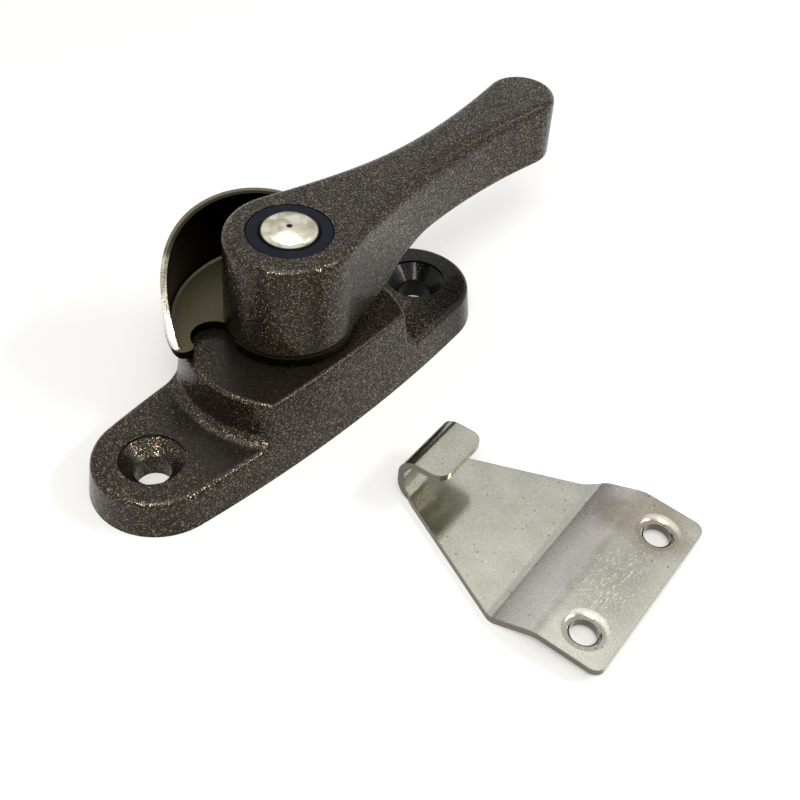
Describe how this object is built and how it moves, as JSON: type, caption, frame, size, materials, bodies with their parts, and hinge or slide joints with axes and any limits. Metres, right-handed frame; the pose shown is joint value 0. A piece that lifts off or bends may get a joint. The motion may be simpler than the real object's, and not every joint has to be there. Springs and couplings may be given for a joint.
{
  "type": "crescent lock",
  "caption": "Crescent lock for a sliding sash: cast base, lever with a deep hub, pressed crescent cam and a separate sheet keeper with a rolled hook.",
  "frame": {"origin": "on the base's mounting face, midway between its two screw holes", "axes": "+X along the base towards the end of the lever, +Y towards the crescent, +Z away from the mounting face"},
  "size_m": [0.0937, 0.0821, 0.0297],
  "materials": {
    "bronze_paint": "metallic",
    "plated_steel": "satin",
    "nickel": "polished",
    "black_plastic": "matte",
    "stainless": "satin",
    "white_plastic": "matte",
    "bearing_bronze": "satin",
    "spring_steel": "satin",
    "rivet_steel": "satin"
  },
  "bodies": {
    "base": {"base": "bronze_paint", "pivot_bush": "bearing_bronze", "thrust_washer": "white_plastic", "detent_spring": "spring_steel", "spring_rivets": "rivet_steel"},
    "rotor": {"lever": "bronze_paint", "crescent_cam": "plated_steel", "pivot_pin": "nickel", "pin_collar": "black_plastic", "disc_springs": "spring_steel", "index_cam": "plated_steel", "backing_washer": "plated_steel"},
    "keeper": {"keeper": "stainless"}
  },
  "joints": [
    {"name": "lever_turn", "type": "hinge", "parent": "base", "child": "rotor", "pos_m": [0, 0.001, 0.0128], "axis": [0, 0, 1], "range_deg": [-180, 0]},
    {"name": "keeper_slide", "type": "slide", "parent": "base", "child": "keeper", "axis": [0.0932, -0.9956, 0], "range_m": [0, 0.03]}
  ]
}
